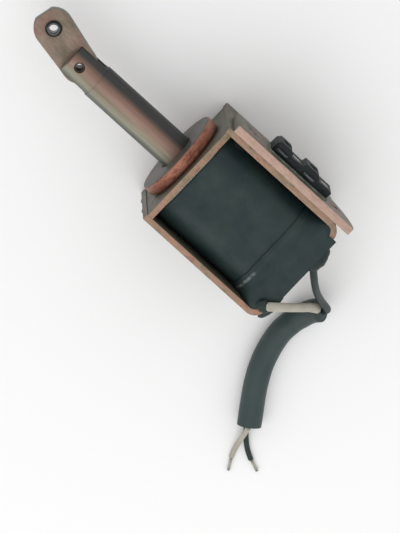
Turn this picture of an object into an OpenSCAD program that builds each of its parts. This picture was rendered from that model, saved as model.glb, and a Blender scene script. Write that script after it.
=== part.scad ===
// Open-frame push-pull solenoid: a strip-steel box frame round a taped coil, a round plunger
// with a tongue in its forked end, a side mounting plate with a two-way terminal strip, and
// two leads that drop into a black sleeve.
// X runs along the plunger and points out of the front plate, Y across the two legs, Z from
// the rear open side to the front open side. The origin is on the plunger's axis, in the
// outer face of the front flange. Millimetres.

/* [Frame] */
// Width over the two legs
frame_w = 41; // [38:0.5:50]
// Depth from the rear open side to the front open side
frame_d = 39; // [38:0.5:50]
// Length from the leg ends to the outside of the web
frame_l = 49.8; // [48:0.2:70]
// Thickness of the strip
frame_t = 2; // [1.4:0.1:2.4]
// Outside radius of the two bends
bend_r = 4.5; // [3.2:0.1:6]
// Distance that the leg ends stand past the front plate
leg_proud = 0.3; // [0:0.1:2]

/* [Front plate] */
// Thickness of the plate
plate_t = 2; // [1.4:0.1:3]
// Width of each tenon
tenon_w = 6; // [4:0.5:8]
// Distance of each tenon from the middle of the plate
tenon_z = 7.2; // [6:0.1:11]
// Height of a peened tenon head above the free leg; those under the mounting plate are flush
head_h = 0.45; // [0.2:0.05:0.8]

/* [Front flange] */
// Diameter of the flange
flange_dia = 31; // [26:0.5:34]
// Thickness of the flange
flange_t = 3.6; // [2.5:0.1:6]
// Diameter of the ring under it
ring_dia = 28.8; // [22:0.2:31]
// Thickness of the ring
ring_t = 0.9; // [0.5:0.1:2]
// Diameter of the spigot that passes the plate
spigot_dia = 18; // [17:0.2:20]

/* [Coil] */
// Gap between the coil's tape and each leg
coil_gap = 0.25; // [0.1:0.05:0.6]
// Distance of the tape behind the frame's front and rear edges
coil_inset = 1.25; // [0.8:0.05:2]
// Corner radius of the taped coil
coil_r = 11; // [8:0.5:13]
// Thickness of the tape
tape_t = 0.6; // [0.4:0.1:1]
// Thickness of the bobbin's cheeks
cheek_t = 1.4; // [1:0.1:2.5]
// Wall of the bobbin's tube
bobbin_wall = 1; // [0.8:0.1:1.5]
// Wall of the brass guide tube
tube_wall = 0.8; // [0.5:0.1:1]

/* [Insulation pad] */
// Length of the pad inside the frame
pad_l = 10.8; // [6:0.2:20]
// Distance that it stands past the web
pad_over = 1.1; // [0.5:0.1:3]
// Thickness over the web's edge
pad_t = 0.5; // [0.4:0.1:1]

/* [Plunger] */
// Diameter of the plunger
plunger_dia = 12; // [10:0.1:12.4]
// Diameter of its relieved end
relief_dia = 11.4; // [9:0.1:12]
// Distance from the flange to the start of the relief
relief_x = 34.8; // [28:0.2:40]
// Distance from the flange to the forked end
fork_x = 46.4; // [44:0.2:56]
// Distance that the plunger pulls in
stroke = 20; // [10:0.5:22]
// Length of the plunger inside the flange at full reach
plunger_in = 16; // [14:0.5:18]
// Air gap left at the end of the pull
seat_gap = 0.1; // [0.05:0.05:0.5]
// Depth of the slot from the forked end
slot_l = 10.4; // [10:0.2:14]
// Distance of the cross pin from the forked end
pin_back = 3.8; // [3.6:0.1:5]
// Diameter of the cross pin
pin_dia = 3.6; // [2.5:0.1:4]
// Distance that each end of the pin lies below the plunger's side
pin_sunk = 0.8; // [0.3:0.1:1.5]
// Diameter of the push pin
push_dia = 3; // [2:0.1:4]

/* [Link] */
// Thickness of the link
link_t = 4; // [3:0.1:5]
// Distance from the cross pin to the eye
link_l = 14.8; // [13:0.2:24]
// Width at the eye
link_w = 13; // [10:0.2:15]
// Width where it enters the fork
root_w = 12; // [8:0.2:13]
// Distance from the eye to the flat on the tip
tip_flat = 5.7; // [5.2:0.1:6.4]
// Diameter of the eye
eye_dia = 5.3; // [4.8:0.1:6]
// Bore of the eye's bush
bush_bore = 3; // [2:0.1:3.2]
// Outside diameter of the bush's neck
neck_dia = 4.2; // [3.6:0.1:4.6]
// Height of the neck above the link
neck_h = 1.4; // [0.5:0.1:2.5]
// Tilt of the link at rest, towards the mounting plate
link_tilt = 13; // [0:1:20]

/* [Mounting plate] */
// Thickness of the plate
mount_t = 2.7; // [2:0.1:5]
// Width of the plate, and radius of its round corner
mount_w = 20; // [18:0.5:24]
// Distance from the leg ends to the start of the plate
mount_start = 1.8; // [0:0.1:5]
// Distance that it reaches past the web
mount_over = 2.4; // [0:0.1:10]
// Bore of the two tapped holes
tap_dia = 3.3; // [2.5:0.1:4.2]
// Distance of each tapped hole from the plate's front edge
tap_z = 9; // [6:0.5:10]

/* [Terminal strip] */
// Length of the moulding
strip_l = 24.4; // [24:0.2:28]
// Width of the moulding
strip_w = 10; // [9:0.2:12]
// Height of its low parts
strip_h = 3.2; // [3:0.1:4]
// Height of its two towers
tower_h = 4.7; // [4.5:0.1:6]
// Distance from the plate's start to the moulding
strip_start = 13.6; // [12:0.2:14]
// Distance from the plate's front edge to the moulding
strip_inset = 5; // [3:0.2:6]
// Distance from the moulding's end to its first terminal
tower_first = 3.5; // [3:0.1:4]
// Distance between the two terminals
tower_pitch = 11.6; // [11.2:0.1:11.8]
// Distance from the moulding's end to its first fixing screw
low_first = 9.1; // [8.8:0.1:9.4]
// Distance between the two fixing screws
low_pitch = 12.3; // [12:0.1:12.6]
// Distance from the moulding's end to the first plate rivet
rivet_first = 4.4; // [4:0.1:5]
// Distance between the two plate rivets
rivet_pitch = 11.2; // [10.8:0.1:11.6]
// Thickness of the card under it
card_t = 0.5; // [0.3:0.1:1]

/* [Leads] */
// Diameter of the white lead
white_dia = 3.1; // [2:0.1:3.4]
// Diameter of the black lead
black_dia = 2.6; // [2:0.1:2.8]
// Diameter of the sleeve
sleeve_dia = 8.2; // [7.4:0.1:8.2]
// Diameter of the lead tails past the sleeve
tail_dia = 1.8; // [1:0.1:2.4]
// Diameter of the taped roots of the leads
lump_dia = 5.8; // [4:0.1:6]

/* [Hidden] */
$fn = 96;
e = 0.01;
fit = 0.05;
plate_out = -(flange_t + ring_t);
plate_in = plate_out - plate_t;
leg_end = plate_out + leg_proud;
web_out = leg_end - frame_l;
web_in = web_out + frame_t;
half_w = frame_w / 2;
half_d = frame_d / 2;
leg_in = half_w - frame_t;
bend_in = bend_r - frame_t;

coil_y = leg_in - coil_gap;
coil_z = half_d - coil_inset;
coil_front = plate_in - 0.6;
coil_back = web_in + 1.7;
tube_bore = plunger_dia + 2 * fit;
tube_dia = tube_bore + 2 * tube_wall;
tube_front = plate_in + plate_t * 0.75;
tube_lap = 9;
core_face = -plunger_in - stroke - seat_gap;
tube_back = core_face - tube_lap;
bobbin_bore = tube_dia + 0.2;
bobbin_dia = bobbin_bore + 2 * bobbin_wall;
bobbin_gap = 0.15;
rear_cheek_inset = bend_room(bobbin_gap) - coil_gap + 0.1;

// Room that an inside bend takes from a face at a distance from the web
function bend_room(gap) = bend_in - sqrt(bend_in * bend_in - pow(max(bend_in - gap, 0), 2));

inner_end = -plunger_in;
push_bore = push_dia + 0.16;
push_in = 5;
rivet_dia = 8;
rivet_sunk = 0.4;
slot_t = link_t + 0.2;
pin_x = fork_x - pin_back;
pin_bore = 2.4;
eye_x = pin_x + link_l;

leg_y = -half_w;
mount_y = leg_y - mount_t;
mount_x1 = leg_end - mount_start;
mount_x0 = web_out - mount_over;
tap_end = 6;
tap_past_bend = 1.6;
tap_x = [mount_x1 - tap_end, web_out + bend_r + tap_past_bend];
screw_clearance = 1;
strip_x1 = mount_x1 - strip_start;
strip_z = half_d - strip_inset - strip_w / 2;
card_y = mount_y - card_t;
card_rim = 0.8;
tower_x = [strip_x1 - tower_first, strip_x1 - tower_first - tower_pitch];
low_x = [strip_x1 - low_first, strip_x1 - low_first - low_pitch];
plate_rivet_x = [strip_x1 - rivet_first, strip_x1 - rivet_first - rivet_pitch];
plate_rivet_dia = 3;
tag_l = 4.4;
tag_t = 0.8;
tag_out = 1.4;
tag_drop = 1.2;
tag_y = card_y - tag_drop;
low_y = card_y - (strip_h - card_t);
tower_seat = 0.2;
low_seat = 1.2;
shank_dia = 1.9;
head_dia = 3.6;
slot_cut = [0.6, 0.5];

// The pad's height where it starts on the coil, and over the web
pad_x1 = web_in + pad_l;
pad_x0 = web_out - pad_over;
pad_start_h = 0.5;
pad_y = leg_in - 0.3;
pad_web_y = leg_in - bend_in + 0.5;
web_gap = 0.05;

// The leads' routes, chosen by hand: from the pad and the taped lump to the sleeve's mouth
white_route = [[-52.7, 14.5, 21.8], [-54.2, 13.2, 21.8], [-56, 11.8, 21.4], [-57.7, 10.7, 20.1],
    [-59.7, 9.8, 17.5], [-61.8, 9.1, 13.7], [-64.2, 8.6, 8.3], [-66.7, 8.3, 1.7], [-69, 8.3, -4],
    [-70.9, 8.5, -9], [-71.2, 9.6, -12]];
black_route = [[-56.1, -5.2, 15.4], [-57.2, -3.6, 14.5], [-59.3, -1.7, 12.5], [-62, 0.5, 9],
    [-65.1, 2.6, 4], [-68.6, 4.4, -2], [-72, 5.6, -7], [-74, 6.6, -10.6], [-74, 7.8, -12.4]];
sleeve_route = [[-72.5, 8.3, -11.4], [-71.6, 9.9, -12.7], [-70.8, 12, -14], [-70.1, 14.4, -14.9],
    [-69.4, 17, -15.4], [-69, 19.6, -15.4], [-68.8, 22.4, -15.4], [-69, 25.2, -15.4],
    [-69.5, 28, -15.4], [-70.2, 30.8, -15.4], [-71.1, 33.6, -15.4], [-72.2, 36.3, -15.4],
    [-73.5, 38.9, -15.4], [-74.9, 41.4, -15.4], [-76.4, 43.8, -15.4], [-78, 46.2, -15.4],
    [-79.6, 48.5, -15.4], [-81.2, 50.8, -15.4], [-82.8, 53.1, -15.4]];
black_tail_route = [[-82.4, 54, -17], [-84.2, 56, -17.8], [-86.2, 58, -18.4], [-88.4, 59.8, -18.6],
    [-90.8, 61.2, -18.6], [-93.4, 62.3, -18.6], [-96, 63.2, -18.6]];
white_tail_route = [[-82.9, 53.6, -14], [-83.7, 56.4, -15.4], [-84.4, 59.2, -17], [-85.1, 61.8, -18.2],
    [-86, 64.4, -18.6], [-87.2, 67, -18.6], [-88.8, 69.4, -18.6]];

// Extrudes a flat shape, drawn in Y and Z, from one X to another
module along_x(x0, x1) {
    translate([x0, 0, 0]) rotate([90, 0, 90]) linear_extrude(x1 - x0) children();
}

// Extrudes a flat shape, drawn in X and Z, from one Y to a higher one
module along_y(y0, y1) {
    translate([0, y1, 0]) rotate([90, 0, 0]) linear_extrude(y1 - y0) children();
}

// Round bar on the X axis
module bar_x(x0, x1, dia) {
    translate([x0, 0, 0]) rotate([0, 90, 0]) cylinder(d = dia, h = x1 - x0);
}

// Round bar that points along Y
module bar_y(x, z, y0, y1, dia) {
    translate([x, y1, z]) rotate([90, 0, 0]) cylinder(d = dia, h = y1 - y0);
}

// Rectangle with round corners, centred
module round_rect(w, h, r) {
    square([w - 2 * r, h], center = true);
    square([w, h - 2 * r], center = true);
    for (sx = [-1, 1], sy = [-1, 1]) translate([sx * (w / 2 - r), sy * (h / 2 - r)]) circle(r);
}

// Outline of the bent strip in X and Y: square at the leg ends, round at the web
module strip_outline(half, x0, x1, r) {
    translate([x0 + r, -half]) square([x1 - x0 - r, 2 * half]);
    translate([x0, r - half]) square([r + e, 2 * (half - r)]);
    for (s = [-1, 1]) translate([x0 + r, s * (half - r)]) circle(r);
}

// Holes through the mounting plate and the leg behind it
module side_holes(y0, y1, dia, at_x, at_z) {
    for (x = at_x) bar_y(x, at_z, y0, y1, dia);
}

module u_frame() {
    color("rosybrown") difference() {
        translate([0, 0, -half_d]) linear_extrude(frame_d) difference() {
            strip_outline(half_w, web_out, leg_end, bend_r);
            strip_outline(leg_in, web_in, leg_end + 1, bend_in);
        }
        // Slots for the front plate's tenons
        for (s = [-1, 1]) translate([plate_in - fit, -frame_w, s * tenon_z - tenon_w / 2 - fit])
            cube([plate_t + 2 * fit, 2 * frame_w, tenon_w + 2 * fit]);
        // Hole for the core's riveted end
        bar_x(web_out - 1, web_in + 1, rivet_dia + 2 * fit);
        // Clearance for the mounting screws, and holes for the plate's rivets and the strip's screws
        side_holes(leg_y - 1, -leg_in + 1, tap_dia + screw_clearance, tap_x, half_d - tap_z);
        side_holes(leg_y - 1, -leg_in + 1, plate_rivet_dia + 2 * fit, plate_rivet_x, strip_z);
        side_holes(leg_y - 1, -leg_in + 1, shank_dia + 2 * fit, low_x, strip_z);
    }
}

// A tenon's peened head is a shallow dome across its width
module tenon_head(z) {
    chord = tenon_w + 0.9;
    r = (chord * chord / 4 + head_h * head_h) / (2 * head_h);
    intersection() {
        translate([plate_in - 0.3, half_w + head_h - r, z]) rotate([0, 90, 0])
            cylinder(r = r, h = plate_t + 0.6);
        translate([plate_in - 1, half_w + 0.02, z - chord]) cube([plate_t + 2, r, 2 * chord]);
    }
}

module front_plate() {
    color("rosybrown") difference() {
        union() {
            translate([plate_in, -leg_in + fit, -half_d])
                cube([plate_t, 2 * (leg_in - fit), frame_d]);
            for (s = [-1, 1]) {
                translate([plate_in, -half_w, s * tenon_z - tenon_w / 2])
                    cube([plate_t, frame_w + head_h / 4, tenon_w]);
                tenon_head(s * tenon_z);
            }
        }
        bar_x(plate_in - 1, plate_out + 1, spigot_dia + 2 * fit);
    }
}

module front_flange() {
    bevel = 0.35;
    bore = plunger_dia + 0.6;
    color("peru") rotate([0, 90, 0]) rotate_extrude() difference() {
        union() {
            polygon([[0, -flange_t], [flange_dia / 2, -flange_t], [flange_dia / 2, -bevel],
                [flange_dia / 2 - bevel, 0], [0, 0]]);
            translate([0, plate_in]) square([spigot_dia / 2, ring_t + plate_t + e]);
        }
        translate([-1, plate_in - 1]) square([bore / 2 + 1, -plate_in + 2]);
        // Seat of the guide tube
        translate([-1, plate_in - 1]) square([tube_dia / 2 + fit + 1, tube_front - plate_in + 1 + fit]);
        polygon([[0, 1], [bore / 2 + 1.6, 1], [bore / 2 + 0.6, 0], [bore / 2, -0.6], [0, -0.6]]);
    }
}

module flange_ring() {
    color("saddlebrown") rotate([0, 90, 0]) rotate_extrude()
        translate([spigot_dia / 2 + fit, plate_out]) square([(ring_dia - spigot_dia) / 2 - fit, ring_t]);
}

module coil_section(inset) {
    round_rect(2 * (coil_y - inset), 2 * (coil_z - inset), coil_r - inset);
}

module bobbin() {
    core = 2 * fit;
    color("ivory") difference() {
        union() {
            bar_x(plate_in - bobbin_l() - bobbin_gap, plate_in - bobbin_gap, bobbin_dia);
            along_x(plate_in - bobbin_gap - cheek_t, plate_in - bobbin_gap) coil_section(tape_t + core);
            along_x(web_in + bobbin_gap, web_in + bobbin_gap + cheek_t)
                coil_section(max(tape_t + core, rear_cheek_inset));
        }
        bar_x(web_out, 0, bobbin_bore);
    }
}

function bobbin_l() = plate_in - web_in - 2 * bobbin_gap;

module winding() {
    gap = 0.1;
    color("darkorange") difference() {
        along_x(web_in + bobbin_gap + cheek_t + gap, plate_in - bobbin_gap - cheek_t - gap)
            coil_section(tape_t + 0.2);
        bar_x(web_out, 0, bobbin_dia + 2 * gap);
    }
}

module coil_wrap() {
    color("darkslategray") along_x(coil_back, coil_front) difference() {
        coil_section(0);
        coil_section(tape_t);
    }
}

module insulation_pad() {
    top = half_d + web_gap + pad_t;
    start = coil_z + pad_start_h;
    bend_start = web_in + bend_in + 0.2;
    color("darkslategray") difference() {
        union() {
            along_y(-pad_y, pad_y) polygon([[pad_x1, 0], [pad_x1, start], [pad_x1 - 1.2, start + 0.25],
                [bend_start, top], [bend_start, 0]]);
            along_y(-pad_web_y, pad_web_y) polygon([[bend_start + e, half_d - 0.6], [bend_start + e, top],
                [pad_x0 + 0.4, top], [pad_x0, top - 0.25], [pad_x0, half_d + web_gap],
                [web_in, half_d + web_gap], [web_in + 0.1, half_d - 0.6]]);
        }
        along_x(web_in - 1, pad_x1 + 1) coil_section(-0.1);
        translate([web_out, -frame_w, -1]) cube([frame_l, 2 * frame_w, 1 + coil_z - coil_r]);
    }
}

module guide_tube() {
    color("goldenrod") difference() {
        bar_x(tube_back, tube_front, tube_dia);
        bar_x(tube_back - 1, tube_front + 1, tube_bore);
    }
}

module fixed_core() {
    chamfer = 0.6;
    color("dimgray") rotate([0, 90, 0]) rotate_extrude() difference() {
        polygon([[0, web_out + rivet_sunk], [rivet_dia / 2, web_out + rivet_sunk], [rivet_dia / 2, web_in],
            [plunger_dia / 2, web_in], [plunger_dia / 2, core_face - chamfer],
            [plunger_dia / 2 - chamfer, core_face], [0, core_face]]);
        translate([-1, web_out - 1]) square([push_bore / 2 + 1, frame_l]);
    }
}

module plunger() {
    bevel = 0.5;
    color("silver") difference() {
        rotate([0, 90, 0]) rotate_extrude() polygon([[0, inner_end], [plunger_dia / 2 - bevel, inner_end],
            [plunger_dia / 2, inner_end + bevel], [plunger_dia / 2, relief_x], [relief_dia / 2, relief_x],
            [relief_dia / 2, fork_x - bevel / 2], [relief_dia / 2 - bevel / 2, fork_x], [0, fork_x]]);
        // Slot for the link, open at the end and on both sides
        translate([fork_x - slot_l, -plunger_dia, -slot_t / 2]) cube([slot_l + 1, 2 * plunger_dia, slot_t]);
        translate([pin_x, 0, -plunger_dia]) cylinder(d = pin_dia + 2 * e, h = 2 * plunger_dia);
        bar_x(inner_end - 1, inner_end + push_in + 0.1, push_dia + 2 * e);
    }
}

module push_pin() {
    tip = 0.4;
    end = web_out + 1;
    color("lightgray") rotate([0, 90, 0]) rotate_extrude() polygon([[0, end], [push_dia / 2 - tip, end],
        [push_dia / 2, end + tip], [push_dia / 2, inner_end + push_in], [0, inner_end + push_in]]);
}

// The link's outline before it is tilted, in X and Y: a round rear end, tapered sides, a round
// tip ground flat
module link_outline() {
    rear_r = slot_l - pin_back - 0.5;
    intersection() {
        union() {
            translate([pin_x, 0]) circle(min(rear_r, root_w / 2));
            polygon([[pin_x, -min(rear_r, root_w / 2)], [fork_x - 1, -root_w / 2], [eye_x, -link_w / 2],
                [eye_x, link_w / 2], [fork_x - 1, root_w / 2], [pin_x, min(rear_r, root_w / 2)]]);
            translate([eye_x, 0]) circle(link_w / 2);
        }
        translate([pin_x - link_w, -link_w]) square([link_l + link_w + tip_flat, 2 * link_w]);
    }
}

// Turns what it holds about the cross pin by the link's tilt at rest
module tilted() {
    translate([pin_x, 0, 0]) rotate([0, 0, -link_tilt]) translate([-pin_x, 0, 0]) children();
}

module link() {
    color("tan") tilted() translate([0, 0, -link_t / 2]) linear_extrude(link_t) difference() {
        link_outline();
        translate([pin_x, 0]) circle(d = pin_dia + 2 * fit);
        translate([eye_x, 0]) circle(d = eye_dia + 2 * e);
    }
}

module link_pin() {
    length = relief_dia - 2 * pin_sunk;
    color("gray") translate([pin_x, 0, -length / 2]) difference() {
        cylinder(d = pin_dia, h = length);
        translate([0, 0, -1]) cylinder(d = pin_bore, h = length + 2);
    }
}

module eye_bush() {
    collar = link_t * 0.7;
    color("dimgray") tilted() translate([eye_x, 0, -link_t / 2]) difference() {
        union() {
            cylinder(d = eye_dia, h = collar);
            cylinder(d = neck_dia, h = link_t + neck_h);
        }
        translate([0, 0, -1]) cylinder(d = bush_bore, h = link_t + neck_h + 2);
    }
}

module mounting_plate() {
    corner = mount_w;
    front = half_d;
    color("tan") difference() {
        along_y(mount_y, leg_y) {
            translate([mount_x0 + corner, front - mount_w]) square([mount_x1 - mount_x0 - corner, mount_w]);
            intersection() {
                translate([mount_x0 + corner, front]) circle(corner);
                translate([mount_x0, front - mount_w]) square([corner + e, mount_w]);
            }
        }
        side_holes(mount_y - 1, leg_y + 1, tap_dia, tap_x, half_d - tap_z);
        side_holes(mount_y - 1, leg_y + 1, plate_rivet_dia + 2 * fit, plate_rivet_x, strip_z);
        side_holes(mount_y - 1, leg_y + 1, shank_dia + 2 * fit, low_x, strip_z);
    }
}

module plate_rivets() {
    color("tan") side_holes(mount_y, -leg_in, plate_rivet_dia, plate_rivet_x, strip_z);
}

module strip_card() {
    color("darkkhaki") difference() {
        translate([strip_x1 - strip_l - card_rim / 2, card_y, strip_z - strip_w / 2 - card_rim / 2])
            cube([strip_l + card_rim, card_t, strip_w + card_rim]);
        side_holes(card_y - 1, mount_y + 1, shank_dia + 2 * fit, low_x, strip_z);
    }
}

// Side view of the moulding, as distance along the strip and height over the card
function strip_profile(low, high) = [[0, 0], [0.1, high - 1.2], [1.2, high], [5.2, high], [6.3, high - 0.6],
    [6.6, low], [11.5, low], [11.9, high], [17, high], [18.2, high - 0.7], [18.6, low],
    [strip_l - 0.5, low], [strip_l, low - 0.5], [strip_l - 0.3, 0]];

module terminal_strip() {
    low = strip_h - card_t;
    high = tower_h - card_t;
    z0 = strip_z - strip_w / 2;
    color([0.2, 0.22, 0.23]) difference() {
        translate([strip_x1, card_y, z0]) mirror([1, 0, 0]) mirror([0, 1, 0])
            linear_extrude(strip_w) polygon(strip_profile(low, high));
        for (x = tower_x) {
            // Screw well, its thread and the slot for the tag
            bar_y(x, strip_z, card_y - high - 1, low_y + tower_seat, head_dia + 0.4);
            bar_y(x, strip_z, card_y - high, card_y - 0.7, shank_dia + 2 * fit);
            translate([x - tag_l / 2 - fit, tag_y - tag_t - fit, strip_z - strip_w / 2 + 0.7])
                cube([tag_l + 2 * fit, tag_t + 2 * fit, strip_w]);
        }
        for (x = low_x) {
            bar_y(x, strip_z, low_y - 1, low_y + low_seat, head_dia + 0.4);
            bar_y(x, strip_z, low_y, card_y + 1, shank_dia + 2 * fit);
        }
    }
}

module terminal_tags() {
    z0 = strip_z - strip_w / 2 + 0.8;
    z1 = strip_z + strip_w / 2 + tag_out;
    color("lightsteelblue") for (x = tower_x) difference() {
        translate([x, tag_y, 0]) rotate([90, 0, 0]) linear_extrude(tag_t) union() {
            translate([-tag_l / 2, z0]) square([tag_l, z1 - z0 - 0.6]);
            translate([-tag_l / 2 + 0.6, z0]) square([tag_l - 1.2, z1 - z0]);
        }
        bar_y(x, strip_z, tag_y - tag_t - 1, tag_y + 1, shank_dia + 2 * fit);
    }
}

// Cheese-head screw that points along +Y from its seat, with a slot cut across its head
module small_screw(x, z, seat_y, head, end_y) {
    difference() {
        union() {
            bar_y(x, z, seat_y - head, seat_y - 2 * e, head_dia);
            bar_y(x, z, seat_y - 3 * e, end_y, shank_dia);
        }
        translate([x - head_dia, seat_y - head - 1, z - slot_cut[0] / 2])
            cube([2 * head_dia, 1 + slot_cut[1], slot_cut[0]]);
    }
}

module terminal_screws() {
    head = 1;
    end_y = card_y - 0.75;
    color("lightgray") for (x = tower_x) small_screw(x, strip_z, low_y + tower_seat, head, end_y);
}

module strip_screws() {
    head = 1.1;
    color("lightgray") for (x = low_x) small_screw(x, strip_z, low_y + low_seat, head, -leg_in);
}

module lead_lumps() {
    // Centres of the balls inside each, as distances past the web, across it and below the front edge
    black_root = [[0.6, -10, 4.3], [1.4, -7.6, 3.9], [1, -5.4, 4.1]];
    white_root = [[-0.6, leg_in - 1.5, 4.3], [0, leg_in - 4.1, 3.7], [-0.6, leg_in - 7.9, 4.1]];
    color([0.16, 0.2, 0.21]) difference() {
        for (root = [black_root, white_root]) hull() for (at = root)
            translate([web_out - at[0], at[1], half_d - at[2]]) sphere(d = lump_dia, $fn = 28);
        translate([web_out - 0.02, -frame_w, -frame_d]) cube([frame_l, 2 * frame_w, 2 * frame_d]);
        translate([pad_x0 - 0.1, -frame_w, half_d]) cube([frame_l, 2 * frame_w, frame_d]);
    }
}

// Round tube swept along a route: a ring of points at each place, square to the route there
function unit(v) = v / norm(v);
function tangent(p, i) = unit(p[min(i + 1, len(p) - 1)] - p[max(i - 1, 0)]);
function side(t) = unit(cross(t, [0.05, 0.1, 1]));
function ring(p, i, r, n) = let (t = tangent(p, i), u = side(t), v = cross(t, u))
    [for (k = [0 : n - 1]) p[i] + r * (cos(360 * k / n) * u + sin(360 * k / n) * v)];

module swept(p, dia, n = 8) {
    rings = len(p);
    points = [for (i = [0 : rings - 1]) each ring(p, i, dia / 2, n)];
    walls = [for (i = [0 : rings - 2], k = [0 : n - 1])
        [i * n + k, (i + 1) * n + k, (i + 1) * n + (k + 1) % n, i * n + (k + 1) % n]];
    first = [for (k = [0 : n - 1]) k];
    last = [for (k = [n - 1 : -1 : 0]) (rings - 1) * n + k];
    polyhedron(points, concat([first], walls, [last]));
}

module white_lead() {
    color("gainsboro") swept(white_route, white_dia);
}

module black_lead() {
    color([0.15, 0.18, 0.18]) swept(black_route, black_dia);
}

module lead_sleeve() {
    color([0.15, 0.2, 0.2]) swept(sleeve_route, sleeve_dia, 12);
}

module white_tail() {
    color("gainsboro") swept(white_tail_route, tail_dia);
}

module black_tail() {
    color([0.15, 0.18, 0.18]) swept(black_tail_route, tail_dia);
}

u_frame();
front_plate();
front_flange();
flange_ring();
bobbin();
winding();
coil_wrap();
insulation_pad();
guide_tube();
fixed_core();
plunger();
push_pin();
link();
link_pin();
eye_bush();
mounting_plate();
plate_rivets();
strip_card();
terminal_strip();
terminal_tags();
terminal_screws();
strip_screws();
lead_lumps();
white_lead();
black_lead();
lead_sleeve();
white_tail();
black_tail();
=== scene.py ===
import math

import bmesh
import bpy
from mathutils import Matrix, Quaternion, Vector, noise


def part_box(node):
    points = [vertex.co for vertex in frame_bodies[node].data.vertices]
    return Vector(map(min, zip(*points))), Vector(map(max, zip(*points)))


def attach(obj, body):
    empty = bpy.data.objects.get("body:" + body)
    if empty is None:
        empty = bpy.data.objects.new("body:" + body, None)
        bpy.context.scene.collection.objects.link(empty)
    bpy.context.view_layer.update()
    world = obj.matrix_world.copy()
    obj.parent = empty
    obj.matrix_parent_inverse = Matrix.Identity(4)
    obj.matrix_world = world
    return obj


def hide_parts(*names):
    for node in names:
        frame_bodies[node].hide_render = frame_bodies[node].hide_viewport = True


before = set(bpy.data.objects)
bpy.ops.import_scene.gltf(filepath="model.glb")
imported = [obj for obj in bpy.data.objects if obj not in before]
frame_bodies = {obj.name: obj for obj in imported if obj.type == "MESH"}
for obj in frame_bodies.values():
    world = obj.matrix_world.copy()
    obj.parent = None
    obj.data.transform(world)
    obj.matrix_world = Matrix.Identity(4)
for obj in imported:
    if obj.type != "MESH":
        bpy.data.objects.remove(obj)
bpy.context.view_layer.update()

# Camera: a long lens that looks down on the open front of the frame, with the plunger up and
# to the left. Lengths in this script are metres, written as millimetres times mm.
mm = 0.001
azimuth, elevation, roll = math.radians(48.2), math.radians(76.85), math.radians(174.7)
aim = Vector((-30.3, 21.2, 8.6)) * mm
distance = 3.0
away = Vector((math.sin(azimuth) * math.cos(elevation), -math.cos(azimuth) * math.cos(elevation),
               math.sin(elevation)))
long_lens = bpy.data.cameras.new("long_lens")
long_lens.lens = 625.5
long_lens.clip_start, long_lens.clip_end = 0.1, 20
camera = bpy.data.objects.new("camera", long_lens)
camera.rotation_mode = "QUATERNION"
camera.location = aim + distance * away
camera.rotation_quaternion = (-away).to_track_quat("-Z", "Y") @ Quaternion((0, 0, 1), roll)
bpy.context.collection.objects.link(camera)
bpy.context.scene.camera = camera


# Leads: two short lengths of sleeving that droop from the coil's tape into the mouth of a
# soft black sleeve, which lies on the bench. Woven glass sleeving over the white one, rubbery
# varnish on the black one.
def paint(red, green, blue):
    """A colour given as 0 to 255 screen values, as the shader wants it"""
    linear = [c / 3294.6 if c < 10.3 else ((c / 255 + 0.055) / 1.055) ** 2.4 for c in (red, green, blue)]
    return (*linear, 1.0)


def start_material(name, rough, metal=0.0, specular=0.5):
    made = bpy.data.materials.new(name)
    made.use_nodes = True
    shader = made.node_tree.nodes["Principled BSDF"]
    shader.inputs["Metallic"].default_value = metal
    shader.inputs["Roughness"].default_value = rough
    shader.inputs["Specular IOR Level"].default_value = specular
    return made, made.node_tree, shader


def add(tree, kind, **inputs):
    """Adds a shader node: a socket is linked to the input of that name, and a value is set"""
    made = tree.nodes.new("ShaderNode" + kind)
    for name, value in inputs.items():
        key = name.replace("_", " ")
        if key not in made.inputs:
            setattr(made, name, value)
        elif isinstance(value, bpy.types.NodeSocket):
            tree.links.new(value, made.inputs[key])
        else:
            made.inputs[key].default_value = value
    return made


def maths(tree, operation, first, second=0.0):
    made = tree.nodes.new("ShaderNodeMath")
    made.operation = operation
    for place, value in enumerate((first, second)):
        if isinstance(value, bpy.types.NodeSocket):
            tree.links.new(value, made.inputs[place])
        else:
            made.inputs[place].default_value = value
    return made.outputs[0]


def ramp(tree, factor, *stops):
    """Turns a factor into a colour, or into a value where the stops are numbers"""
    made = tree.nodes.new("ShaderNodeValToRGB")
    for _ in range(len(stops) - 2):
        made.color_ramp.elements.new(0.5)
    for element, (place, colour) in zip(made.color_ramp.elements, stops):
        element.position = place
        element.color = colour if isinstance(colour, tuple) else (colour, colour, colour, 1)
    tree.links.new(factor, made.inputs[0])
    return made.outputs[0]


def blend_colour(tree, factor, first, second, mode="MIX"):
    """Mixes two colours, through the sockets that a Mix node keeps for colours"""
    factor_socket, first_socket, second_socket, result_socket = 0, 6, 7, 2
    made = tree.nodes.new("ShaderNodeMix")
    made.data_type = "RGBA"
    made.blend_type = mode
    for place, value in ((factor_socket, factor), (first_socket, first), (second_socket, second)):
        if isinstance(value, bpy.types.NodeSocket):
            tree.links.new(value, made.inputs[place])
        else:
            made.inputs[place].default_value = value
    return made.outputs[result_socket]


def place(tree, stretch=(1, 1, 1), turn=(0, 0, 0), source="Object"):
    """The surface's coordinates, stretched and turned"""
    coordinates = tree.nodes.new("ShaderNodeTexCoord").outputs[source]
    return add(tree, "Mapping", Vector=coordinates, Scale=stretch, Rotation=turn).outputs[0]


def cloud(tree, vector, scale, detail=3.0, rough=0.5):
    return add(tree, "TexNoise", Vector=vector, Scale=scale, Detail=detail, Roughness=rough).outputs[0]


def relief(tree, shader, height, depth, strength=1.0):
    made = add(tree, "Bump", Height=height, Distance=depth, Strength=strength)
    tree.links.new(made.outputs[0], shader.inputs["Normal"])


def colour_in(tree, shader, colour):
    tree.links.new(colour, shader.inputs["Base Color"])


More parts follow.
